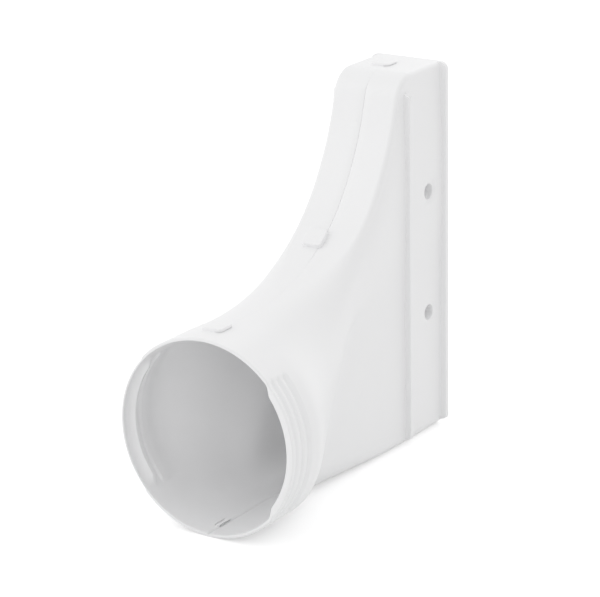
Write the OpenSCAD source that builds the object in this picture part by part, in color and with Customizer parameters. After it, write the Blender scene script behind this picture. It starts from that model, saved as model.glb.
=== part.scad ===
// Duct adapter: round hose collar that turns into a tall flat outlet, in two clipped halves
// X across, Y from the mouth to the back, Z up; the origin is on the floor under the middle
// u is the distance from the mouth and h the height above the collar's axis

/* [Collar] */
// Outer radius of the round collar
collar_r = 75; // [74:0.5:76]
// Length of the round collar
collar_len = 40; // [38:1:42]
// Wall thickness of both halves
wall = 2.5; // [2.2:0.1:2.8]
// Depth of the thread grooves under the collar's outside
thread_inset = 1.8; // [1.6:0.1:2]
// How far the thread ridges stay below the collar's outside
ridge_drop = 0.8; // [0.6:0.1:1]
// Distance from the mouth to the first thread groove
thread_start = 5.8; // [5.4:0.1:6.2]
// Distance between two thread grooves
thread_pitch = 7.4; // [7.2:0.1:7.6]
// Width of one thread groove
groove_w = 3.4; // [3:0.2:3.8]
// Number of thread grooves
grooves = 3; // [2:1:3]
// Angle the thread arc reaches above the collar's middle
thread_up = 42; // [38:1:44]
// Angle the thread arc reaches below the collar's middle
thread_down = 41; // [38:1:44]
// How far the inner lips of the thread arcs stand in from the collar's inner wall
lip_in = 3.9; // [3.5:0.1:4.2]
// Length of the inner lips
lip_len = 12; // [11:0.5:13]
// Height of the inner lips over the recess behind them
lip_h = 2.4; // [2.2:0.1:2.5]
// Angle the inner lips reach above and below the collar's middle
lip_reach = 40; // [37:1:41]
// Length of the left lip's sloping lead-in
lead_len = 9; // [7:0.5:10]

/* [Housing] */
// Whole depth from the mouth to the back
depth = 286; // [284:1:290]
// Height of the housing above the collar's axis
top_h = 219.5; // [216:0.5:222]
// Half width of the flat housing
half_w = 28.5; // [28:0.5:29]
// Radius of the housing's upper long edges
edge_top_r = 5; // [4:0.5:6]
// Radius of the housing's lower long edges
edge_low_r = 8; // [7:0.5:9]

/* [Channels] */
// How far the ribs and flanges stand out of the side walls
rib_out = 5.1; // [4.5:0.1:5.5]
// Thickness of the ribs
rib_t = 4.1; // [3.7:0.2:4.5]
// Clear width of the side channel
channel_w = 49.8; // [49:0.2:50.6]
// Thickness of the back flange
flange_t = 4.5; // [4.1:0.2:4.9]
// Distance from the housing's top down to the rib's end
rib_drop = 13.9; // [13:0.3:15]
// Height of the ribs' and flanges' lower ends above the floor
rib_lift = 5; // [4:0.5:6]
// Radius of the flange's upper corners
flange_r = 6; // [5:0.5:7]

/* [Holes] */
// Radius of the side holes
hole_r = 6.1; // [5.5:0.1:6.5]
// Distance between the two holes of a side
hole_step = 97.4; // [95:0.4:99]
// Height of the lower hole above the collar's axis
hole_h = 23.8; // [22:0.2:26]
// Distance of the holes from the back
hole_back = 22.1; // [21:0.1:23]
// Length of the sleeves round the holes on the inside of the wall
sleeve_len = 5; // [4.5:0.5:5.5]
// Wall thickness of these sleeves
sleeve_w = 2; // [1.6:0.2:2.4]

/* [Clips] */
// How far the sockets stand out of the wall
socket_out = 2.4; // [2:0.2:2.8]
// Width of the sockets across the seam's left side
socket_w = 14; // [13:0.5:15]
// How far the sockets reach over the seam
socket_over = 2.4; // [2:0.2:2.8]
// Length of the sockets along the seam
socket_len = 16; // [15:0.5:17]
// Reach of the tongues into the left half
tongue_len = 10.6; // [9:0.2:11]
// Thickness of the tongues
tongue_t = 1.6; // [1.4:0.1:1.8]
// Gap around the tongues
tongue_gap = 0.4; // [0.3:0.1:0.6]
// Gap between the two halves at the seam
seam_gap = 0.3; // [0.2:0.1:0.4]

/* [Hidden] */
$fn = 96;
white = [0.94, 0.94, 0.95];
white_low = [0.90, 0.90, 0.91];
gap = seam_gap / 2;
mouth_y = -depth / 2;
axis_z = collar_r;
floor_h = -collar_r;
thread_r = collar_r - thread_inset;
thread_tail = 1.2;
thread_out = thread_start + (grooves - 1) * thread_pitch + groove_w / 2 + thread_tail;
thread_len = thread_out + 2;
lip_r = collar_r - wall - lip_in;
lip_top = lip_r * sin(lip_reach);
lead_rim = 2.2;
arc_end = 2;

// Side profile: level over the collar, one curve up the slope, then the rounded shoulder
level_len = 8;
curve_reach = 98;
lean = 0.26;
shoulder_back = 67.5;
shoulder_drop = 16.5;
shoulder_pull = 82;
curve_u = collar_len + level_len;
shoulder_u = depth - shoulder_back;
shoulder_h = top_h - shoulder_drop;
lean_len = sqrt(lean * lean + 1);
lean_u = lean / lean_len;
lean_h = 1 / lean_len;
lean_a = atan2(1, lean);
shoulder_r = (top_h - shoulder_h) / (1 - cos(lean_a));
arc_u = shoulder_u + shoulder_r * sin(lean_a);
arc_h = top_h - shoulder_r;
curve_n = 27;
arc_n = 8;

function smooth(t) = let(k = max(0, min(1, t))) k * k * (3 - 2 * k);
function bez(a, b, c, d, t) = pow(1 - t, 3) * a + 3 * pow(1 - t, 2) * t * b + 3 * (1 - t) * t * t * c + t * t * t * d;
function dbez(a, b, c, d, t) = 3 * (1 - t) * (1 - t) * (b - a) + 6 * (1 - t) * t * (c - b) + 3 * t * t * (d - c);
function curve_at(t) = let(
    u1 = curve_u + curve_reach,
    u2 = shoulder_u - lean_u * shoulder_pull,
    h2 = shoulder_h - lean_h * shoulder_pull,
    du = dbez(curve_u, u1, u2, shoulder_u, t),
    dh = dbez(collar_r, collar_r, h2, shoulder_h, t))
    [bez(curve_u, u1, u2, shoulder_u, t), bez(collar_r, collar_r, h2, shoulder_h, t), dh / du];
function arc_at(a) = [arc_u - shoulder_r * sin(a), arc_h + shoulder_r * cos(a), tan(a)];
stations = concat(
    [[collar_len, collar_r, 0], [collar_len + 4, collar_r, 0]],
    [for (i = [0:curve_n]) curve_at(i / curve_n)],
    [for (i = [1:arc_n]) arc_at(lean_a * (1 - i / arc_n))]);
housing_u = arc_u;

// Cross-section at one station: a flat box low down joined to a round horn that shrinks upward
horn_len = 160;
square_len = 70;
rise_start = 38;
rise_len = 76;
rise_h = 120;
soft_start = 20;
soft_low_len = 170;
soft_top_len = 110;
soft_low_r = 20.3;
soft_top_r = 23.3;
fade_start = 185;
fade_len = 35;
fade_in = 4;
join_len = 30;
join_in = 4;
thin_in = 0.6;
function horn_w(u) = half_w + (collar_r - half_w) * pow(1 - max(0, min(1, (u - collar_len) / horn_len)), 2.1);
function horn_pow(u) = 2 + 0.9 * smooth((u - collar_len) / square_len);
function horn_low(u) = floor_h + rise_h * smooth((u - collar_len - rise_start) / rise_len);
function low_r(u) = edge_low_r + soft_low_r * (1 - smooth((u - collar_len - soft_start) / soft_low_len));
function top_r(u) = edge_top_r + soft_top_r * (1 - smooth((u - collar_len - soft_start) / soft_top_len));
function joined(a, b, k) = max(a, b) + (k > 0 ? pow(max(k - abs(a - b), 0), 2) / (4 * k) : 0);
function box_x(u, h, ht, s) = let(
    r = low_r(u),
    rx = top_r(u),
    rh = min(rx * sqrt(1 + s * s), (ht - floor_h) / 2),
    lo = h < floor_h + r ? half_w - r + sqrt(max(r * r - pow(floor_h + r - h, 2), 0)) : half_w,
    hi = h > ht - rh ? half_w - rx + rx * sqrt(max(1 - pow((h - ht + rh) / rh, 2), 0)) : half_w)
    min(lo, hi);
function horn_x(u, h, ht) = let(
    hc = (ht + horn_low(u)) / 2,
    hh = (ht - horn_low(u)) / 2,
    p = horn_pow(u))
    horn_w(u) * pow(max(1 - pow(abs((h - hc) / hh), p), 0), 1 / p) - fade_in * smooth((u - fade_start) / fade_len);
function side_x(u, h, ht, s) = u <= collar_len
    ? sqrt(max(collar_r * collar_r - h * h, 0))
    : joined(box_x(u, h, ht, s), horn_x(u, h, ht), join_in * smooth((u - collar_len) / join_len));
ring_n = 44;
flat_n = 3;
function ring_h(i, ht) = floor_h + (ht - floor_h) * (1 - cos(180 * i / ring_n)) / 2;
function outline(st) = let(
    ring = [for (i = [0:ring_n]) [side_x(st[0], ring_h(i, st[1]), st[1], st[2]), ring_h(i, st[1])]],
    lo = max(ring[0][0], gap + thin_in),
    hi = max(ring[ring_n][0], gap + thin_in))
    concat(
        [for (i = [0:flat_n - 1]) [gap + (lo - gap) * i / flat_n, floor_h]],
        [for (i = [0:ring_n]) [i == 0 ? lo : i == ring_n ? hi : max(ring[i][0], gap + thin_in), ring[i][1]]],
        [for (i = [1:flat_n]) [hi - (hi - gap) * i / flat_n, st[1]]]);
line_n = ring_n + 1 + 2 * flat_n;

// Inner side of the wall, moved in along the slope's own normal
function lift(h, st) = 1 + (sqrt(1 + st[2] * st[2]) - 1) * smooth((h - floor_h) / (st[1] - floor_h) * 2 - 1);
function inward(o, j, st) = let(
    a = o[max(j - 1, 0)],
    b = o[min(j + 1, line_n - 1)],
    k = lift(o[j][1], st),
    tx = j <= flat_n - 1 ? 1 : j >= line_n - flat_n ? -1 : b[0] - a[0],
    th = j <= flat_n - 1 ? 0 : j >= line_n - flat_n ? 0 : (b[1] - a[1]) / k,
    n = sqrt(tx * tx + th * th))
    [max(o[j][0] - wall * th / n, gap), o[j][1] + wall * tx / n * k];
function inner(o, st) = [for (j = [0:line_n - 1]) inward(o, j, st)];

module half_loft() {
    n = len(stations);
    outs = [for (s = stations) outline(s)];
    ins = [for (i = [0:n - 1]) inner(outs[i], stations[i])];
    pts = concat(
        [for (i = [0:n - 1]) for (j = [0:line_n - 1]) [outs[i][j][0], stations[i][0], outs[i][j][1]]],
        [for (i = [0:n - 1]) for (j = [0:line_n - 1]) [ins[i][j][0], stations[i][0], ins[i][j][1]]]);
    m = line_n;
    q = n * m;
    faces = concat(
        [for (i = [0:n - 2]) for (j = [0:m - 2]) [i * m + j, i * m + j + 1, i * m + m + j + 1]],
        [for (i = [0:n - 2]) for (j = [0:m - 2]) [i * m + j, i * m + m + j + 1, i * m + m + j]],
        [for (i = [0:n - 2]) for (j = [0:m - 2]) [q + i * m + j, q + i * m + m + j + 1, q + i * m + j + 1]],
        [for (i = [0:n - 2]) for (j = [0:m - 2]) [q + i * m + j, q + i * m + m + j, q + i * m + m + j + 1]],
        [for (j = [0:m - 2]) [j, q + j, q + j + 1]],
        [for (j = [0:m - 2]) [j, q + j + 1, j + 1]],
        [for (j = [0:m - 2]) [q - m + j, q - m + j + 1, 2 * q - m + j + 1]],
        [for (j = [0:m - 2]) [q - m + j, 2 * q - m + j + 1, 2 * q - m + j]],
        [for (i = [0:n - 2]) for (j = [0, m - 1]) j == 0 ? [i * m, i * m + m, q + i * m + m] : [i * m + j, q + i * m + m + j, i * m + m + j]],
        [for (i = [0:n - 2]) for (j = [0, m - 1]) j == 0 ? [i * m, q + i * m + m, q + i * m] : [i * m + j, q + i * m + j, q + i * m + m + j]]);
    polyhedron(points = pts, faces = faces, convexity = 8);
}

// Moves a shape drawn in u and h to its place over the floor
module placed() {
    translate([0, mouth_y, axis_z]) children();
}

// Full ring round the collar's axis
module ring(r0, r1, u0, u1) {
    rotate([-90, 0, 0]) rotate_extrude() translate([r0, u0]) square([r1 - r0, u1 - u0]);
}

// Block given by its two corners in x, u and h
module block(x0, x1, u0, u1, h0, h1) {
    translate([x0, u0, h0]) cube([x1 - x0, u1 - u0, h1 - h0]);
}

// Half collar: a thick half ring, cut back to the plain wall except at the inset thread arc and its lip
arc_top = thread_r * sin(thread_up);
arc_low = -thread_r * sin(thread_down);
module half_collar(windows) {
    difference() {
        ring(lip_r, collar_r, 0, collar_len);
        difference() {
            ring(lip_r - 1, collar_r - wall, -1, collar_len + 1);
            block(0, collar_r, -2, thread_len, arc_low - arc_end, arc_top + arc_end);
        }
        difference() {
            ring(lip_r - 1, lip_r + lip_h, -1, collar_len + 1);
            block(0, collar_r, -2, lip_len, -lip_top, lip_top);
        }
        if (windows) lead_in();
        arc_band(collar_r - ridge_drop, -1, thread_out);
        for (i = [1:grooves]) groove(thread_start + (i - 1) * thread_pitch);
        block(-collar_r - 1, gap, -2, collar_len + 2, -collar_r - 1, collar_r + 1);
        if (windows) {
            collar_window(1);
            collar_window(-1);
        }
    }
}

// Cone that eases a hose end over the left lip
module lead_in() {
    rotate([-90, 0, 0]) rotate_extrude() polygon([[lip_r - 2, -1], [collar_r - lead_rim, -1], [collar_r - lead_rim, 0], [lip_r, lead_len], [lip_r - 2, lead_len]]);
}

// One thread groove, given by its middle
module groove(u) {
    arc_band(thread_r, u - groove_w / 2, u + groove_w / 2);
}

// Cuts the arc's outside back to the given radius
module arc_band(r, u0, u1) {
    intersection() {
        ring(r, collar_r + 1, u0, u1);
        block(0, collar_r + 2, u0 - 1, u1 + 1, arc_low, arc_top);
    }
}

// Clips: a tongue of the right half lies in a window of the left half's wall, under a raised socket
collar_clip_u = 18;
top_clip_back = 38;
top_clip_u = depth - top_clip_back;
slope_t0 = 12 / curve_n;
slope_t1 = 14 / curve_n;
slope_in = 0.015;
clip_side = 2;
window_x = tongue_len + 1.4;
tongue_in = (wall - tongue_t) / 2 + 0.05;
bridge_x = 0.5;
bridge_w = 2.8;
bridge_t = 1.2;
low_clip_u = 14.2;
low_window_x = 4.4;
low_tongue_len = 3.6;
lip_gap = 0.3;
function off(st, d) = [st[0] - st[2] * d / sqrt(1 + st[2] * st[2]), st[1] + d / sqrt(1 + st[2] * st[2])];

// Draws in u and h and extends across X
module across(x0, x1) {
    translate([x0, 0, 0]) rotate([90, 0, 90]) linear_extrude(x1 - x0) children();
}

// Draws in x and h and extends along u
module along(u0, u1) {
    translate([0, u1, 0]) rotate([90, 0, 0]) linear_extrude(u1 - u0) children();
}

module slope_band(t0, t1, d0, d1) {
    low = [for (i = [0:2]) off(curve_at(t0 + (t1 - t0) * i / 2), d0)];
    high = [for (i = [0:2]) off(curve_at(t1 + (t0 - t1) * i / 2), d1)];
    polygon(concat(low, high));
}

module collar_window(side) {
    h0 = side > 0 ? collar_r - wall - 3 : -collar_r - 3;
    u0 = (side > 0 ? collar_clip_u : low_clip_u) + clip_side - tongue_gap;
    x1 = side > 0 ? window_x : low_window_x;
    translate([-1, u0, h0]) cube([x1 + 1, socket_len - 2 * clip_side + 2 * tongue_gap, wall + 6]);
}

// Half section of the flat housing, drawn in x and h
module box_section(w, lo, hi, rlo, rhi) {
    translate([0, lo + rlo]) square([w, hi - lo - rlo - rhi]);
    translate([0, lo]) square([w - rlo, rlo]);
    translate([0, hi - rhi]) square([w - rhi, rhi]);
    translate([w - rlo, lo + rlo]) circle(rlo);
    translate([w - rhi, hi - rhi]) circle(rhi);
}

side_w = half_w + rib_out + 6;
module outer_section() {
    box_section(half_w, floor_h, top_h, edge_low_r, edge_top_r);
}

// The ribs and flanges end a little above the floor, where the side wall's lower edge is rounded
end_r = 3;
end_h = floor_h + rib_lift;
module housing_wall() {
    difference() {
        union() {
            along(housing_u, depth) outer_section();
            along(depth - flange_t, depth) box_section(half_w + rib_out, end_h, top_h, end_r, flange_r);
        }
        along(housing_u - 1, depth + 1) box_section(half_w - wall, floor_h + wall, top_h - wall, edge_low_r - wall, edge_top_r - wall);
        translate([-side_w, housing_u - 1, floor_h - 1]) cube([side_w + gap, depth, top_h - floor_h + 2]);
    }
}

module half_housing() {
    difference() {
        union() {
            housing_wall();
            hole_sleeve(hole_h);
            hole_sleeve(hole_h + hole_step);
        }
        side_hole(hole_h);
        side_hole(hole_h + hole_step);
    }
}

sleeve_x = half_w - wall - sleeve_len;
module hole_sleeve(h) {
    translate([sleeve_x, depth - hole_back, h]) rotate([0, 90, 0]) cylinder(h = sleeve_len + wall / 2, r = hole_r + sleeve_w);
}

module side_hole(h) {
    translate([sleeve_x - 2, depth - hole_back, h]) rotate([0, 90, 0]) cylinder(h = sleeve_len + wall + 4, r = hole_r);
}

rib_u = depth - flange_t - channel_w - rib_t;
module half_rib() {
    difference() {
        along(rib_u, rib_u + rib_t) box_section(half_w + rib_out, end_h, top_h - rib_drop, end_r, rib_out - 0.6);
        along(rib_u - 1, rib_u + rib_t + 1) outer_section();
        translate([-side_w, rib_u - 1, floor_h - 1]) cube([side_w + half_w / 2, rib_t + 2, top_h - floor_h + 2]);
    }
}

module part_left() {
    placed() mirror([1, 0, 0]) children();
}

module left_collar() {
    color(white) part_left() half_collar(true);
}

module right_collar() {
    color(white) placed() half_collar(false);
}

module left_transition() {
    color(white) part_left() difference() {
        half_loft();
        across(-1, window_x) slope_band(slope_t0 + slope_in - 0.003, slope_t1 - slope_in + 0.003, -wall - 2, 2);
    }
}

module right_transition() {
    color(white) placed() half_loft();
}

module left_housing() {
    color(white) part_left() difference() {
        half_housing();
        translate([-1, top_clip_u + clip_side - tongue_gap, top_h - wall - 1]) cube([window_x + 1, socket_len - 2 * clip_side + 2 * tongue_gap, wall + 2]);
    }
}

module right_housing() {
    color(white) placed() half_housing();
}

module left_rib() {
    color(white_low) part_left() half_rib();
}

module right_rib() {
    color(white_low) placed() half_rib();
}

// Raised sockets, moulded with the left half; their lips stand over the seam
module top_socket() {
    color(white_low) part_left() union() {
        translate([gap, top_clip_u, top_h]) cube([socket_w - gap, socket_len, socket_out]);
        translate([-socket_over, top_clip_u, top_h + lip_gap]) cube([socket_over + gap, socket_len, socket_out - lip_gap]);
    }
}

module slope_socket() {
    color(white_low) part_left() union() {
        across(gap, socket_w) slope_band(slope_t0, slope_t1, 0, socket_out);
        across(-socket_over, gap) slope_band(slope_t0, slope_t1, lip_gap, socket_out);
    }
}

module collar_top_socket() {
    color(white_low) part_left() difference() {
        intersection() {
            ring(collar_r, collar_r + socket_out, collar_clip_u, collar_clip_u + socket_len);
            block(-socket_over, socket_w, 0, collar_len, 0, collar_r + 9);
        }
        intersection() {
            ring(collar_r - 1, collar_r + lip_gap, 0, collar_len);
            block(-socket_over - 1, gap, -1, collar_len + 1, 0, collar_r + 9);
        }
    }
}

// The lower one is a bridge on the inside, so the collar still rests on the floor
module collar_bottom_socket() {
    color(white_low) part_left() intersection() {
        ring(collar_r - wall - bridge_t, collar_r - wall, low_clip_u, low_clip_u + socket_len);
        block(bridge_x, bridge_x + bridge_w, 0, collar_len, -collar_r - 1, 0);
    }
}

// Snap tongues, moulded with the right half
module top_tongue() {
    color(white_low) placed() translate([-tongue_len, top_clip_u + clip_side, top_h - tongue_in - tongue_t]) cube([tongue_len + gap, socket_len - 2 * clip_side, tongue_t]);
}

module slope_tongue() {
    color(white_low) placed() across(-tongue_len, gap) slope_band(slope_t0 + slope_in, slope_t1 - slope_in, -tongue_in - tongue_t, -tongue_in);
}

module collar_top_tongue() {
    color(white_low) placed() collar_tongue(1);
}

module collar_bottom_tongue() {
    color(white_low) placed() collar_tongue(-1);
}

module collar_tongue(side) {
    r1 = collar_r - tongue_in;
    h0 = side > 0 ? 0 : -collar_r - 1;
    u0 = (side > 0 ? collar_clip_u : low_clip_u) + clip_side;
    reach = side > 0 ? tongue_len : low_tongue_len;
    intersection() {
        ring(r1 - tongue_t, r1, u0, u0 + socket_len - 2 * clip_side);
        block(-reach, gap, 0, collar_len, h0, h0 + collar_r + 1);
    }
}

left_collar();
right_collar();
left_transition();
right_transition();
left_housing();
right_housing();
left_rib();
right_rib();
top_socket();
slope_socket();
collar_top_socket();
collar_bottom_socket();
top_tongue();
slope_tongue();
collar_top_tongue();
collar_bottom_tongue();
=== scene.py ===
import math

import bmesh
import bpy
import numpy as np
from mathutils import Matrix, Vector


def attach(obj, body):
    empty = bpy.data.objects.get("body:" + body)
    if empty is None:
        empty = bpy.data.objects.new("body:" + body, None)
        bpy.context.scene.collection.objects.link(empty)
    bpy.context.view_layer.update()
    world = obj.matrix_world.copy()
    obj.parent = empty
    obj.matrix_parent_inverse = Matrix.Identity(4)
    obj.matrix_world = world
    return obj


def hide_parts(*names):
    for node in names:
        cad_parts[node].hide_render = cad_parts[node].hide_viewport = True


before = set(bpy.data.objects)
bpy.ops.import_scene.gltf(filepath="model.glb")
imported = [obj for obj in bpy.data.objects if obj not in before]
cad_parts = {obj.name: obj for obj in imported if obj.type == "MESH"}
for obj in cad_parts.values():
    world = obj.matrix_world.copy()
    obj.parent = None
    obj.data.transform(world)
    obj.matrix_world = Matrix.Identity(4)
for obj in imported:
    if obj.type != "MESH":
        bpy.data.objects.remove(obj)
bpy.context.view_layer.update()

# ---------------------------------------------------------------------------------------------
# The two shell halves, clipped together along the middle. Each is one thin moulding of white
# plastic: half of the round hose collar, the curved transition and half of the tall flat housing,
# with its channel rib and its back flange.

# Sizes are in millimetres: u is the distance from the mouth, h the height above the collar's axis.
MM = 0.001
COLLAR_R = 75.0
COLLAR_LEN = 40.0
WALL = 2.5
DEPTH = 286.0
TOP_H = 219.5
HALF_W = 28.5
FLOOR_H = -COLLAR_R

# The top line runs level over the collar, up a curved slope and over a round shoulder.
CURVE_U = COLLAR_LEN + 8.0
CURVE_REACH = 98.0
LEAN = 0.26
SHOULDER_U = DEPTH - 67.5
SHOULDER_H = TOP_H - 16.5
SHOULDER_PULL = 82.0
LEAN_LEN = math.hypot(LEAN, 1.0)
LEAN_A = math.atan2(1.0, LEAN)
SHOULDER_R = (TOP_H - SHOULDER_H) / (1.0 - math.cos(LEAN_A))
ARC_U = SHOULDER_U + SHOULDER_R * math.sin(LEAN_A)
ARC_H = TOP_H - SHOULDER_R


# A pair of values given to ramp as *PAIR is its start and length.
def ramp(value, start, length):
    """0 up to start, 1 past start + length, with a soft rise between them."""
    k = np.clip((value - start) / length, 0.0, 1.0)
    return k * k * (3.0 - 2.0 * k)


def slope_point(t):
    """Point and steepness of the top line on its curve up the slope: u, h, dh/du."""
    u = (CURVE_U, CURVE_U + CURVE_REACH, SHOULDER_U - LEAN / LEAN_LEN * SHOULDER_PULL, SHOULDER_U)
    h = (COLLAR_R, COLLAR_R, SHOULDER_H - SHOULDER_PULL / LEAN_LEN, SHOULDER_H)
    w = ((1 - t) ** 3, 3 * (1 - t) ** 2 * t, 3 * (1 - t) * t * t, t ** 3)
    d = (3 * (1 - t) ** 2, 6 * (1 - t) * t, 3 * t * t)
    du = sum(d[k] * (u[k + 1] - u[k]) for k in range(3))
    dh = sum(d[k] * (h[k + 1] - h[k]) for k in range(3))
    return sum(a * b for a, b in zip(w, u)), sum(a * b for a, b in zip(w, h)), dh / du


def shoulder_point(a):
    """The same on the shoulder's arc, at the angle a before its top."""
    return ARC_U - SHOULDER_R * math.sin(a), ARC_H + SHOULDER_R * math.cos(a), math.tan(a)


# The round horn behind the collar narrows to the housing's width, sooner in its lower half. It
# gets squarer, its underside rises, and it sinks into the flat wall.
HORN_LEN = 160.0
NARROWING = 2.1
LOW_NARROWING = 0.7
LOW_HALF = (-20.0, 50.0)
SQUARE_LEN = 70.0
SQUARER = 0.9
RISE = (COLLAR_LEN + 38.0, 76.0)
RISE_H = 120.0
SINK = (185.0, 35.0)
SINK_IN = 4.0


def horn_x(u, h, top):
    """Half width of the horn."""
    low = FLOOR_H + RISE_H * ramp(u, *RISE)
    power = 2.0 + SQUARER * ramp(u, COLLAR_LEN, SQUARE_LEN)
    narrowing = NARROWING + LOW_NARROWING * (1.0 - ramp(h, *LOW_HALF))
    wide = HALF_W + (COLLAR_R - HALF_W) * (1.0 - np.clip((u - COLLAR_LEN) / HORN_LEN, 0, 1)) ** narrowing
    ratio = np.abs((h - (top + low) / 2.0) / ((top - low) / 2.0)) ** power
    return wide * np.maximum(1.0 - ratio, 0.0) ** (1.0 / power) - SINK_IN * ramp(u, *SINK)


def box_x(h, top, wide, low_r, top_r, top_rh, bottom=FLOOR_H):
    """Half width of an upright box with rounded lower and upper edges."""
    low = np.sqrt(np.maximum(low_r ** 2 - (bottom + low_r - h) ** 2, 0.0))
    high = np.sqrt(np.maximum(1.0 - ((h - top + top_rh) / top_rh) ** 2, 0.0))
    x = np.where(h < bottom + low_r, wide - low_r + low, wide)
    return np.minimum(x, np.where(h > top - top_rh, wide - top_r + top_r * high, wide))


# The housing's edges have a small radius at the back and a larger one towards the collar.
EDGE_LOW_R = 8.0
EDGE_TOP_R = 3.5
MORE_LOW_R = 20.3
MORE_TOP_R = 24.8
MORE_LOW_FADE = (COLLAR_LEN + 20.0, 170.0)
MORE_TOP_FADE = (COLLAR_LEN + 20.0, 110.0)
BLEND = 12.0
BLEND_LEN = 30.0


def side_x(u, h, top, steep):
    """Half width of the moulding: a circle at the collar, then horn and housing blended together."""
    if u <= COLLAR_LEN:
        return np.sqrt(np.maximum(COLLAR_R ** 2 - h ** 2, 0.0))
    low_r = EDGE_LOW_R + MORE_LOW_R * (1.0 - ramp(u, *MORE_LOW_FADE))
    top_r = EDGE_TOP_R + MORE_TOP_R * (1.0 - ramp(u, *MORE_TOP_FADE))
    top_rh = min(top_r * math.hypot(1.0, steep), (top - FLOOR_H) / 2.0)
    flat = box_x(h, top, HALF_W, low_r, top_r, top_rh)
    horn = horn_x(u, h, top)
    k = BLEND * ramp(u, COLLAR_LEN, BLEND_LEN)
    return np.maximum(flat, horn) + np.maximum(k - np.abs(flat - horn), 0.0) ** 2 / (4.0 * k)


# Rows run from the mouth to the back. Each has its distance, the top line's height and steepness,
# how far the rounded rim draws the outside in, and its share of the rib or of the flange. RIB_U is
# the rib's front and back, and more rows lie at the lip, the steps and the holes.
RIM_R = 0.9
LIP_U = 12.0
LIP_EDGE = 0.25
ARC_ROWS = 58
ARC_ROWS_END = 29.0
RIB_U = (227.6, 231.7)
RIB_CLEAR = 1.0
FLANGE_U = 281.5
HOLE_U = DEPTH - 22.1
HOLE_PATCH = 9.0
HOLE_ROWS = 9
SLOPE_ROWS = 72
SHOULDER_ROWS = 26
QUARTER = [math.pi / 2 * k / 4 for k in range(5)]
# The step up to a rib or a flange: distance past its edge, and share of the step
STEP = ((-0.35, 0.0), (-0.12, 0.02), (-0.03, 0.06), (0.0, 0.12), (0.01, 0.2),
        (0.03, 0.8), (0.05, 0.88), (0.1, 0.94), (0.25, 0.985), (0.6, 1.0))
rows = []


def add_row(u, top=TOP_H, steep=0.0, drawn=0.0, rib=0.0, flange=0.0):
    rows.append((u, top, steep, drawn, rib, flange))


for a in QUARTER:
    add_row(RIM_R * (1 - math.cos(a)), COLLAR_R, drawn=RIM_R * (1 - math.sin(a)))
for u in np.linspace(RIM_R, ARC_ROWS_END, ARC_ROWS)[1:]:
    add_row(float(u), COLLAR_R)
for u in (LIP_U - 0.1, LIP_U, LIP_U + 0.1, LIP_U + LIP_EDGE):
    add_row(u, COLLAR_R)
for u in (31.0, 33.0, 35.5, 38.0, COLLAR_LEN, 42.0, 44.0, 46.0):
    add_row(u, COLLAR_R)
slope_rows = [slope_point(k / SLOPE_ROWS) for k in range(SLOPE_ROWS + 1)]
slope_rows += [shoulder_point(LEAN_A * (1 - k / SHOULDER_ROWS)) for k in range(1, SHOULDER_ROWS + 1)]
for r in slope_rows:
    if not RIB_U[0] - RIB_CLEAR < r[0] < RIB_U[1] + RIB_CLEAR:
        add_row(*r)
rib_rows = [(RIB_U[0] + d, f) for d, f in STEP] + [(RIB_U[1] - d, f) for d, f in reversed(STEP)]
for u, f in rib_rows:
    a = math.asin((ARC_U - u) / SHOULDER_R)
    add_row(*shoulder_point(a), rib=f)
for u in (242.0, 244.2, 246.4, 249.0, 251.5, 254.4):
    add_row(u)
for u in np.linspace(HOLE_U - HOLE_PATCH, HOLE_U + HOLE_PATCH, HOLE_ROWS):
    add_row(float(u))
for u in (274.5, 276.5, 278.5, 280.0):
    add_row(u)
for d, f in STEP:
    add_row(FLANGE_U + d, flange=f)
for u in (283.4, 284.4):
    add_row(u, flange=1.0)
for a in reversed(QUARTER):
    add_row(DEPTH - RIM_R * (1 - math.cos(a)), drawn=RIM_R * (1 - math.sin(a)), flange=1.0)
rows.sort(key=lambda r: r[0])
row_u = np.array([r[0] for r in rows])

# Columns run round the half outline from the bottom seam to the top seam: first the seam's rounded
# edge, then a flat stretch, then the ring itself, and the same again at the top.
SEAM_X = 0.03
SEAM_R = 0.4
SEAM_FLAT = 0.6
RING_N = 168
FLAT_N = 4
seam_x = [SEAM_X + SEAM_R * (1 - math.cos(a)) for a in QUARTER[::2]]
seam_in = [SEAM_R * (1 - math.sin(a)) for a in QUARTER[::2]]
col_in = np.array(seam_in + [0.0] * (RING_N + 2 * FLAT_N - 1) + seam_in[::-1])
END_N = len(seam_x) + FLAT_N - 1


def to_seam(x):
    """The outline x with its columns towards the seam, at the bottom and at the top."""
    start = seam_x[-1]
    f = np.arange(1, FLAT_N) / FLAT_N
    low = start + (max(x[0], SEAM_X + SEAM_FLAT) - start) * f
    high = start + (max(x[-1], SEAM_X + SEAM_FLAT) - start) * f[::-1]
    return np.concatenate([seam_x, low, np.maximum(x, SEAM_X + SEAM_FLAT), high, seam_x[::-1]])


# The thread arcs at the collar's sides, in degrees above and below the middle, have grooves outside
# and a holding lip inside. The left lip has a sloping lead-in and a groove behind it.
ARC_UP = 42.0
ARC_DOWN = -41.0
ARC_FADE = 3.0
GROOVE_U = 5.8
GROOVE_STEP = 7.4
GROOVE_SHARP = 2.4
GROOVE_START = (0.0, 2.0)
GROOVE_END = (22.6, 1.8)
LEFT_GROOVE_IN = 1.2
RIGHT_GROOVE_IN = 1.7
ARC_IN = 0.9
LIP_IN = 3.9
LIP_STEP = 2.4
LIP_CREST = 2.2
LIP_SIDES = (36.0, 8.0)
LEAD_U = 1.0
LEAD_CURVE = 2.6
LEAD_START_SHARE = 0.05
BEHIND_END = (25.0, 12.0)
LEFT_BEHIND_START = (18.0, 2.5)


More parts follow.
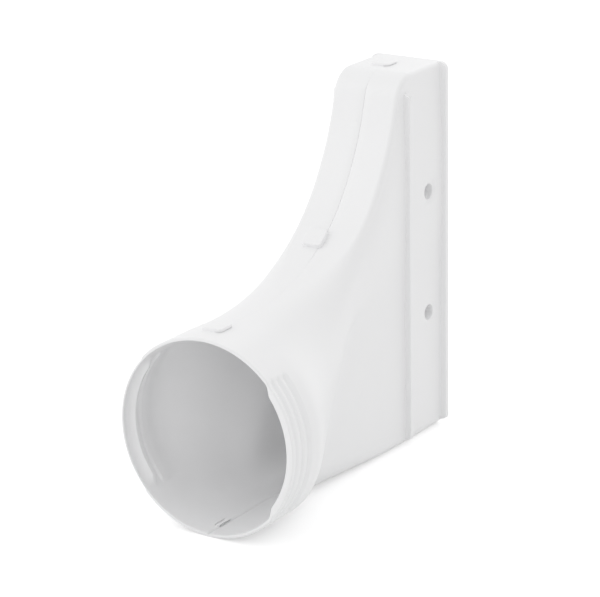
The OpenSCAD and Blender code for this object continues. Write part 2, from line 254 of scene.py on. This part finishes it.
def arc_shape(u, angle, left):
    """How far the arc's outside is drawn in, and how much thicker its wall is, along one row."""
    within = ramp(angle, ARC_DOWN - ARC_FADE, ARC_FADE) * (1 - ramp(angle, ARC_UP, ARC_FADE))
    wave = (0.5 + 0.5 * math.cos(2 * math.pi * (u - GROOVE_U) / GROOVE_STEP)) ** GROOVE_SHARP
    groove = (LEFT_GROOVE_IN if left else RIGHT_GROOVE_IN) * wave * ramp(u, *GROOVE_START)
    outer = within * (ARC_IN + groove) * (1 - ramp(u, *GROOVE_END))
    lip = LIP_IN * (1 - ramp(np.abs(angle), *LIP_SIDES))
    behind = (LIP_IN - LIP_STEP) * (1 - ramp(u, *BEHIND_END)) * within
    if left:
        lead = max(0.0, min(1.0, (u - LEAD_U) / (LIP_U - LIP_CREST - LEAD_U))) ** LEAD_CURVE
        lip = lip * (LEAD_START_SHARE + (1 - LEAD_START_SHARE) * lead)
        behind = behind * ramp(u, *LEFT_BEHIND_START)
    step = ramp(u, LIP_U, LIP_EDGE)
    return outer, lip * (1 - step) + behind * step


# Ribs and flanges stand out at the sides and end above the floor. The seam's outer edges are rounded
# at the mouth and on the slope and nearly sharp elsewhere. Inside, a fine groove follows the lower
# seam and fades out past the middle.
SIDE_OUT = 5.1
SIDE_END_H = FLOOR_H + 5.0
SIDE_END_R = 3.0
SIDE_TOP_R = 6.0
RIB_TOP = (TOP_H - 16.9, 3.2)
SEAM_MOUTH = (0.0, 1.8)
SEAM_SLOPE_START = (140.0, 14.0)
SEAM_SLOPE_END = (219.0, 7.0)
SEAM_SHARP = 0.05
SEAM_INNER = 0.3
SEAM_GROOVE = 1.0
SEAM_GROOVE_W = 1.1
SEAM_GROOVE_END = (150.0, 30.0)
# Behind the collar the inside is softened round the outline, all but a few columns at each seam.
SOFT_ROUNDS = 60
SOFT_KEEP = 9


def outline(row, left):
    """Outside and inside of the wall along one row, each as arrays of x and h."""
    u, top, steep, drawn, rib, flange = row
    ring_h = FLOOR_H + (top - FLOOR_H) * (1 - np.cos(np.pi * np.arange(RING_N + 1) / RING_N)) / 2
    ring_x = side_x(u, ring_h, top, steep)
    side = box_x(ring_h, top, HALF_W + SIDE_OUT, SIDE_END_R, SIDE_TOP_R, SIDE_TOP_R, SIDE_END_H)
    side = np.where(ring_h < SIDE_END_H, 0.0, side)
    share = flange + rib * (1 - ramp(ring_h, *RIB_TOP))
    base = to_seam(ring_x)
    pushed = to_seam(ring_x + (np.maximum(side, ring_x) - ring_x) * share)
    h = np.concatenate([np.full(END_N, FLOOR_H), ring_h, np.full(END_N, top)])

    lift = 1 + (math.hypot(1.0, steep) - 1) * ramp(h, (top + FLOOR_H) / 2, (top - FLOOR_H) / 2)
    dx = np.gradient(base)
    dh = np.gradient(h) / lift
    dx[:END_N], dh[:END_N] = 1.0, 0.0
    dx[-END_N:], dh[-END_N:] = -1.0, 0.0
    n = np.hypot(dx, dh)
    nx, nh = dh / n, -dx / n * lift

    seen = ramp(u, *SEAM_SLOPE_START) * (1 - ramp(u, *SEAM_SLOPE_END)) + 1 - ramp(u, *SEAM_MOUTH)
    out_in = drawn + col_in * (SEAM_SHARP + (1 - SEAM_SHARP) * seen)
    groove = SEAM_GROOVE * np.maximum(0.0, 1 - (base - SEAM_X) / SEAM_GROOVE_W) * (h < 0)
    in_in = WALL - 0.5 * drawn - SEAM_INNER * col_in - groove * (1 - ramp(u, *SEAM_GROOVE_END))
    if u <= COLLAR_LEN:
        out_in = out_in + arc_shape(u, np.degrees(np.arctan2(h, base)), left)[0]
    outside = (np.maximum(pushed - nx * out_in, SEAM_X), h - nh * out_in)
    inside = (np.maximum(base - nx * in_in, SEAM_X), h - nh * in_in)
    for _ in range(SOFT_ROUNDS if u > COLLAR_LEN else 0):
        for line in inside:
            before, after = line[SOFT_KEEP - 1:-SOFT_KEEP - 1], line[SOFT_KEEP + 1:-SOFT_KEEP + 1]
            line[SOFT_KEEP:-SOFT_KEEP] += 0.25 * (before + after - 2 * line[SOFT_KEEP:-SOFT_KEEP])
    return outside, inside


# The transition's creases are softened along u, outside only above the lower edge. The first two
# pairs are where the softening starts and how far it reaches.
EASE_OUTSIDE = (30.0, 7.0)
EASE_INSIDE = (22.0, 8.0)
EASE_START_LEN = 10.0
EASE_END = (196.0, 16.0)
EASE_ABOVE = (30.0, 20.0)


def eased(pts, first, reach, keep_low):
    """The points with each moved towards its neighbours' mean along u, from first on."""
    near = np.exp(-0.5 * ((row_u[:, None] - row_u[None, :]) / reach) ** 2) * np.gradient(row_u)[None, :]
    near /= near.sum(axis=1, keepdims=True)
    share = (ramp(row_u, first, EASE_START_LEN) * (1 - ramp(row_u, *EASE_END)))[:, None]
    if keep_low:
        share = share * ramp(pts[:, :, 2] / MM, *EASE_ABOVE)
    for axis in (0, 2):
        mean = near @ pts[:, :, axis]
        pts[:, :, axis] += (mean - pts[:, :, axis]) * share
    return pts


def wall_points(left):
    """Points of the wall's outside and inside, for the left half before it is mirrored."""
    both = []
    for row in rows:
        y = row[0] - DEPTH / 2
        both.append([np.stack([x, np.full(len(x), y), h - FLOOR_H], 1) * MM for x, h in outline(row, left)])
    outer = eased(np.array([b[0] for b in both]), *EASE_OUTSIDE, True)
    inner = eased(np.array([b[1] for b in both]), *EASE_INSIDE, False)
    for i in np.where(row_u <= COLLAR_LEN)[0]:
        angle = np.arctan2(outer[i, :, 2] / MM + FLOOR_H, outer[i, :, 0] / MM)
        thicker = arc_shape(row_u[i], np.degrees(angle), left)[1] * MM
        inner[i, :, 0] -= thicker * np.cos(angle)
        inner[i, :, 2] -= thicker * np.sin(angle)
    return outer, inner


# Both halves have the same grid, and holes and windows are found on the right one.
walls = {"left_half": wall_points(True), "right_half": wall_points(False)}
right_outside = walls["right_half"][0]
ROW_N, COL_N = right_outside.shape[:2]


def laid_grid(bm, pts):
    """A grid whose vertices are laid on the worked-out surface; returns vertex -> (row, column)."""
    made = bmesh.ops.create_grid(bm, x_segments=ROW_N - 1, y_segments=COL_N - 1, size=0.5)
    place = {}
    for v in made["verts"]:
        i = round((v.co.x + 0.5) * (ROW_N - 1))
        j = round((v.co.y + 0.5) * (COL_N - 1))
        v.co = Vector(pts[i, j])
        place[v] = (i, j)
    return place


def cut_cells(bm, place, wanted):
    """Cuts the grid's faces whose middle is wanted(row, column)."""
    faces = {f for v in place if v.is_valid for f in v.link_faces}
    gone = [f for f in faces if wanted(*np.mean([place[v] for v in f.verts], axis=0))]
    bmesh.ops.delete(bm, geom=gone, context="FACES")


def rim_edges(place, near=None):
    """The grid's open edges, all of them or those near(row, column)."""
    edges = {e for v in place if v.is_valid for e in v.link_edges if e.is_boundary}
    return [e for e in edges if all(v in place and (near is None or near(*place[v])) for v in e.verts)]


def pulled(bm, edges, place, target):
    """Extrudes the edges and lays each new vertex where target(row, column) says."""
    old = {v for e in edges for v in e.verts}
    made = bmesh.ops.extrude_edge_only(bm, edges=edges)["geom"]
    new = {}
    for v in (g for g in made if isinstance(g, bmesh.types.BMVert)):
        source = next(e.other_vert(v) for e in v.link_edges if e.other_vert(v) in old)
        new[v] = place[source]
        v.co = Vector(target(*place[source]))
    return new, [g for g in made if isinstance(g, bmesh.types.BMEdge)]


# Each hole is cut as a square patch of the flat wall and closed with rings down to its bore, outside,
# and round its sleeve, inside. A ring is its radius and its depth from the outside.
HOLE_R = 6.1
HOLE_H = (23.8, 121.2)
HOLE_PATCH_H = 10.2
SLEEVE_X = WALL + 5.0
HOLE_BORE = ((6.75, 0.0), (6.4, 0.06), (6.18, 0.24), (HOLE_R, 0.6), (HOLE_R, 3.6), (HOLE_R, SLEEVE_X - 0.4))
HOLE_SLEEVE = ((8.7, WALL), (8.3, WALL + 0.2), (8.1, WALL + 0.6), (8.1, SLEEVE_X - 0.5),
               (7.95, SLEEVE_X - 0.15), (7.6, SLEEVE_X), (6.5, SLEEVE_X), (6.2, SLEEVE_X - 0.1),
               (HOLE_R, SLEEVE_X - 0.4))
hole_rows = np.where(np.abs(row_u - HOLE_U) < HOLE_PATCH + 0.1)[0][[0, -1]]


def patch_cols(h):
    """First and last column of the patch for a hole at the height h."""
    col_h = right_outside[np.argmin(np.abs(row_u - HOLE_U)), :, 2] / MM + FLOOR_H
    return np.where(np.abs(col_h - h) < HOLE_PATCH_H)[0][[0, -1]]


hole_cols = [patch_cols(h) for h in HOLE_H]


def hole_cell(i, j):
    return any(hole_rows[0] < i < hole_rows[1] and c[0] < j < c[1] for c in hole_cols)


def hole_ring(pts, r, depth, h):
    """Where a patch's rim goes for one ring of the hole at the height h."""
    def at(i, j):
        p = pts[i, j] / MM
        a = math.atan2(p[2] + FLOOR_H - h, p[1] + DEPTH / 2 - HOLE_U)
        y, z = HOLE_U - DEPTH / 2 + r * math.cos(a), h - FLOOR_H + r * math.sin(a)
        return np.array([HALF_W - depth, y, z]) * MM
    return at


# Windows for the clips, in the left half only: start and end along u, above (1) or below (-1) the
# middle, and reach from the seam.
CLIP_LEN = 16.0
COLLAR_CLIP_U = 18.0
BRIDGE_CLIP_U = 14.2
TOP_CLIP_U = 248.0
SLOPE_WINDOW_T = (0.4565, 0.5065)
WINDOW_IN = 1.6
WINDOW_REACH = 12.0
BRIDGE_REACH = 4.4
straight_clips = (
    (COLLAR_CLIP_U, 1, WINDOW_REACH),
    (BRIDGE_CLIP_U, -1, BRIDGE_REACH),
    (TOP_CLIP_U, 1, WINDOW_REACH),
)
windows = [(u + WINDOW_IN, u + CLIP_LEN - WINDOW_IN, side, reach) for u, side, reach in straight_clips]
windows.append((*[slope_point(t)[0] for t in SLOPE_WINDOW_T], 1, WINDOW_REACH))


def window_cell(i, j):
    u = np.interp(i, np.arange(ROW_N), row_u)
    x = right_outside[int(i), int(j), 0] / MM
    above = int(j) > COL_N / 2
    return any(u0 < u < u1 and x < reach and above == (side > 0) for u0, u1, side, reach in windows)


# Satin plastic: spark texture, faint waves and slightly uneven gloss. Depths are in metres.
PLASTIC_COLOUR = (0.93, 0.93, 0.935)
PLASTIC_SHADE = 0.985
ROUGH_MIN = 0.37
ROUGH_MAX = 0.47
CLOUD_SCALE = 38.0
GRAIN_SCALE = 2600.0
GRAIN_STRENGTH = 0.12
GRAIN_DEPTH = 0.00008
WAVE_SCALE = 24.0
WAVE_STRENGTH = 0.10
WAVE_DEPTH = 0.0008


def moulded_plastic():
    mat = bpy.data.materials.new("white_moulded_plastic")
    mat.use_nodes = True
    nodes, links = mat.node_tree.nodes, mat.node_tree.links
    shader = nodes["Principled BSDF"]
    shader.inputs["IOR"].default_value = 1.5
    where = nodes.new("ShaderNodeTexCoord")

    def noise(scale, detail):
        node = nodes.new("ShaderNodeTexNoise")
        node.inputs["Scale"].default_value = scale
        node.inputs["Detail"].default_value = detail
        links.new(where.outputs["Object"], node.inputs["Vector"])
        return node.outputs["Fac"]

    def bump(height, strength, depth):
        node = nodes.new("ShaderNodeBump")
        node.inputs["Strength"].default_value = strength
        node.inputs["Distance"].default_value = depth
        links.new(height, node.inputs["Height"])
        return node

    cloud = noise(CLOUD_SCALE, 3.0)
    gloss = nodes.new("ShaderNodeMapRange")
    gloss.inputs["To Min"].default_value = ROUGH_MIN
    gloss.inputs["To Max"].default_value = ROUGH_MAX
    links.new(cloud, gloss.inputs["Value"])
    links.new(gloss.outputs["Result"], shader.inputs["Roughness"])
    tint = nodes.new("ShaderNodeMix")
    tint.data_type = "RGBA"
    tint.inputs["A"].default_value = (*[c * PLASTIC_SHADE for c in PLASTIC_COLOUR], 1.0)
    tint.inputs["B"].default_value = (*PLASTIC_COLOUR, 1.0)
    links.new(cloud, tint.inputs["Factor"])
    links.new(tint.outputs["Result"], shader.inputs["Base Color"])
    grain = bump(noise(GRAIN_SCALE, 2.0), GRAIN_STRENGTH, GRAIN_DEPTH)
    wave = bump(noise(WAVE_SCALE, 1.0), WAVE_STRENGTH, WAVE_DEPTH)
    links.new(grain.outputs["Normal"], wave.inputs["Normal"])
    links.new(wave.outputs["Normal"], shader.inputs["Normal"])
    return mat


white_plastic = moulded_plastic()


def finished(bm, name, body):
    """Makes the piece, with sharp creases kept, of white plastic, and fixes it to its body."""
    mesh = bpy.data.meshes.new(name)
    bm.to_mesh(mesh)
    bm.free()
    mesh.shade_smooth()
    mesh.set_sharp_from_angle(angle=math.radians(40))
    piece = bpy.data.objects.new(name, mesh)
    bpy.context.scene.collection.objects.link(piece)
    piece.data.materials.append(white_plastic)
    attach(piece, body)
    return piece


def shell_half(name, body):
    """One half: two laid grids with holes and windows cut, joined along all their rims."""
    left = body == "left_half"
    outside, inside = walls[body]
    bm = bmesh.new()
    out = laid_grid(bm, outside)
    inn = laid_grid(bm, inside)
    for place in (out, inn):
        cut_cells(bm, place, hole_cell)
        if left:
            cut_cells(bm, place, window_cell)
    for c, h in zip(hole_cols, HOLE_H):
        def near(i, j):
            return hole_rows[0] <= i <= hole_rows[1] and c[0] <= j <= c[1]
        for place, pts, rings in ((out, outside, HOLE_BORE), (inn, inside, HOLE_SLEEVE)):
            edges, where = rim_edges(place, near), place
            for r, depth in rings:
                where, edges = pulled(bm, edges, where, hole_ring(pts, r, depth, h))
                edges = [e for e in edges if all(v in where for v in e.verts)]
    bmesh.ops.delete(bm, geom=[v for v in bm.verts if not v.link_faces], context="VERTS")
    out = {v: p for v, p in out.items() if v.is_valid}
    pulled(bm, rim_edges(out), out, lambda i, j: inside[i, j])
    if left:
        bmesh.ops.scale(bm, vec=(-1, 1, 1), verts=bm.verts)
    bmesh.ops.remove_doubles(bm, verts=bm.verts, dist=0.000004)
    bmesh.ops.recalc_face_normals(bm, faces=bm.faces)
    return finished(bm, name, body)


left_shell = shell_half("left_shell", "left_half")
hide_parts("left_collar", "left_transition", "left_housing", "left_rib")
right_shell = shell_half("right_shell", "right_half")
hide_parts("right_collar", "right_transition", "right_housing", "right_rib")

# ---------------------------------------------------------------------------------------------
# The clip sockets: raised plastic covers moulded with the left half. Each stands over a window in
# the wall, and its lip reaches over the seam. The lower one is a bridge across its window, inside.
COVER_OUT = 2.4
COVER_FORWARD = 1.2
SLOPE_COVER_T = (12 / 27 - 0.01, 14 / 27 - 0.01)
COVER_CUTS = 8
LIP_FROM_X = -1.5
LIP_GAP = 0.3


# Where a point of a cover goes: x across the seam, s along the cover, c above the wall's outside
def on_collar(side, start):
    def at(x, s, c):
        a = x / COLLAR_R
        r = COLLAR_R + c
        return r * math.sin(a), start + s, side * r * math.cos(a)
    return at


def on_slope(x, s, c):
    t0, t1 = SLOPE_COVER_T
    u, h, k = slope_point(t0 + (t1 - t0) * s / CLIP_LEN)
    n = math.hypot(1.0, k)
    return x, u - k * c / n, h + c / n


def on_top(x, s, c):
    return x, TOP_CLIP_U + s, TOP_H + c


def clip_socket(name, at, x0=-14.0, x1=2.4, c0=-0.4, c1=COVER_OUT, lip=True, corner=2.6, rim_r=0.5):
    """A rounded plate, cut across so that it can bend, laid on the wall by at(x, s, c)."""
    bm = bmesh.new()
    made = bmesh.ops.create_cube(bm, size=1.0)
    bmesh.ops.scale(bm, vec=(x1 - x0, CLIP_LEN, c1 - c0), verts=made["verts"])
    bmesh.ops.translate(bm, vec=((x0 + x1) / 2, CLIP_LEN / 2, (c0 + c1) / 2), verts=made["verts"])
    posts = [e for e in bm.edges if abs(e.verts[0].co.z - e.verts[1].co.z) > 1.0]
    bmesh.ops.bevel(bm, geom=posts, offset=corner, segments=5, profile=0.5, affect="EDGES", material=-1)
    rim = [e for e in bm.edges if all(v.co.z > c1 - 0.01 for v in e.verts)]
    bmesh.ops.bevel(bm, geom=rim, offset=rim_r, segments=4, profile=0.5, affect="EDGES", material=-1)
    for k in range(1, COVER_CUTS):
        x_cut = (x0 + (x1 - x0) * k / COVER_CUTS, 0, 0)
        s_cut = (0, CLIP_LEN * k / COVER_CUTS, 0)
        for point, across in ((x_cut, (1, 0, 0)), (s_cut, (0, 1, 0))):
            geom = bm.verts[:] + bm.edges[:] + bm.faces[:]
            bmesh.ops.bisect_plane(bm, geom=geom, plane_co=point, plane_no=across)
    for v in bm.verts:
        x, s, c = v.co
        if lip and c < 0 and x > LIP_FROM_X:
            c = LIP_GAP
        x, u, h = at(x, s, c)
        v.co = Vector((x, u - DEPTH / 2, h - FLOOR_H)) * MM
    bmesh.ops.recalc_face_normals(bm, faces=bm.faces)
    piece = finished(bm, name, "left_half")
    return piece


top_cover = clip_socket("top_clip_socket", on_top, c1=1.7, corner=3.6, rim_r=1.1)
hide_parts("top_socket")
slope_cover = clip_socket("slope_clip_socket", on_slope, c1=3.8)
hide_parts("slope_socket")
collar_cover = clip_socket("collar_clip_socket", on_collar(1, COLLAR_CLIP_U - COVER_FORWARD), x0=-13.0, x1=3.8)
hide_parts("collar_top_socket")
bridge = clip_socket("collar_clip_bridge", on_collar(-1, BRIDGE_CLIP_U), x0=-3.3, x1=-0.5,
                     c0=-WALL - 1.2, c1=-WALL + 0.05, lip=False, corner=0.6)
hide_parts("collar_bottom_socket")

# ---------------------------------------------------------------------------------------------
# The snap tongues: thin plates moulded with the right half that lie in the windows under the
# covers. Their solids have the right shape and stay, with the same plastic.
for name in ("top_tongue", "slope_tongue", "collar_top_tongue", "collar_bottom_tongue"):
    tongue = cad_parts[name]
    tongue.data.materials.clear()
    tongue.data.materials.append(white_plastic)

# ---------------------------------------------------------------------------------------------
# The stage: a wide sheet of pale paper as floor, soft lamps round it in a bright studio, and the
# camera.
PAPER_SIZE = 6.0
PAPER_COLOUR = 0.90
PAPER_GLOW = 0.34
STUDIO_LIGHT = 0.81
LAMP_SIZE = 1.6
LAMP_AIM = (0, 0, 0.13)
LAMPS = (
    ("overhead", (0.0, -0.06, 1.93), 1.5),
    ("front_left", (-1.25, -1.05, 0.89), 4.6),
    ("behind", (0.0, 1.69, 0.75), 5.0),
)


def camera_share(nodes, links):
    """1 for rays from the camera, reflections and glass, 0 for light on the object."""
    path = nodes.new("ShaderNodeLightPath")
    total = path.outputs["Is Camera Ray"]
    for ray in ("Is Glossy Ray", "Is Transmission Ray"):
        either = nodes.new("ShaderNodeMath")
        either.operation = "MAXIMUM"
        links.new(total, either.inputs[0])
        links.new(path.outputs[ray], either.inputs[1])
        total = either.outputs[0]
    return total


def floor_paper():
    mat = bpy.data.materials.new("white_paper")
    mat.use_nodes = True
    nodes, links = mat.node_tree.nodes, mat.node_tree.links
    shader = nodes["Principled BSDF"]
    shader.inputs["Base Color"].default_value = (PAPER_COLOUR, PAPER_COLOUR, PAPER_COLOUR, 1)
    shader.inputs["Roughness"].default_value = 0.9
    shader.inputs["Specular IOR Level"].default_value = 0.0
    shader.inputs["Emission Color"].default_value = (1, 1, 1, 1)
    glow = nodes.new("ShaderNodeMath")
    glow.operation = "MULTIPLY"
    glow.inputs[1].default_value = PAPER_GLOW
    links.new(camera_share(nodes, links), glow.inputs[0])
    links.new(glow.outputs[0], shader.inputs["Emission Strength"])
    return mat


bm = bmesh.new()
bmesh.ops.create_grid(bm, x_segments=8, y_segments=8, size=PAPER_SIZE)
floor_mesh = bpy.data.meshes.new("floor")
bm.to_mesh(floor_mesh)
bm.free()
floor_mesh.materials.append(floor_paper())
floor = bpy.data.objects.new("floor", floor_mesh)
bpy.context.scene.collection.objects.link(floor)

world = bpy.data.worlds.new("studio")
bpy.context.scene.world = world
world.use_nodes = True
w_nodes, w_links = world.node_tree.nodes, world.node_tree.links
studio = w_nodes["Background"]
studio.inputs["Color"].default_value = (1, 1, 1, 1)
level = w_nodes.new("ShaderNodeMapRange")
level.inputs["To Min"].default_value = STUDIO_LIGHT
level.inputs["To Max"].default_value = 1.0
w_links.new(camera_share(w_nodes, w_links), level.inputs["Value"])
w_links.new(level.outputs["Result"], studio.inputs["Strength"])

for name, place, power in LAMPS:
    lamp = bpy.data.lights.new(name, "AREA")
    lamp.shape = "RECTANGLE"
    lamp.size = LAMP_SIZE
    lamp.size_y = LAMP_SIZE
    lamp.energy = power
    holder = bpy.data.objects.new(name, lamp)
    holder.location = place
    aim = Vector(LAMP_AIM) - Vector(place)
    holder.rotation_euler = aim.to_track_quat("-Z", "Y").to_euler()
    bpy.context.scene.collection.objects.link(holder)

# The camera has a long lens and stands in front, to the right and a little above. Its angles are in
# radians, its distance in metres, and its lens and the mouth's place in the frame in pixels.
CAM_TURN = 0.582222
CAM_RISE = 0.314639
CAM_ROLL = -0.018045
LENS_PX = 2702.21
MOUTH_PX = (205.34, 439.00)
MOUTH_DIST = 1.915236
IMAGE_PX = (600.0, 597.0)
turn_sin, turn_cos = math.sin(CAM_TURN), math.cos(CAM_TURN)
rise_sin, rise_cos = math.sin(CAM_RISE), math.cos(CAM_RISE)
right = Vector((turn_cos, turn_sin, 0))
up = Vector((-turn_sin * rise_sin, turn_cos * rise_sin, rise_cos))
ahead = Vector((-turn_sin * rise_cos, turn_cos * rise_cos, -rise_sin))
turned_right = math.cos(CAM_ROLL) * right + math.sin(CAM_ROLL) * up
turned_up = -math.sin(CAM_ROLL) * right + math.cos(CAM_ROLL) * up
off_x = (MOUTH_PX[0] - IMAGE_PX[0] / 2) / LENS_PX * MOUTH_DIST
off_y = -(MOUTH_PX[1] - IMAGE_PX[1] / 2) / LENS_PX * MOUTH_DIST
mouth = Vector((0, -DEPTH / 2, COLLAR_R)) * MM
eye = mouth - (off_x * turned_right + off_y * turned_up + MOUTH_DIST * ahead)
cam = bpy.data.cameras.new("camera")
cam.sensor_width = 36.0
cam.lens = LENS_PX / IMAGE_PX[0] * cam.sensor_width
cam.clip_end = 50.0
camera = bpy.data.objects.new("camera", cam)
camera.matrix_world = Matrix((
    (turned_right.x, turned_up.x, -ahead.x, eye.x),
    (turned_right.y, turned_up.y, -ahead.y, eye.y),
    (turned_right.z, turned_up.z, -ahead.z, eye.z),
    (0, 0, 0, 1)))
bpy.context.scene.collection.objects.link(camera)
bpy.context.scene.camera = camera
bpy.context.scene.view_settings.view_transform = "Standard"
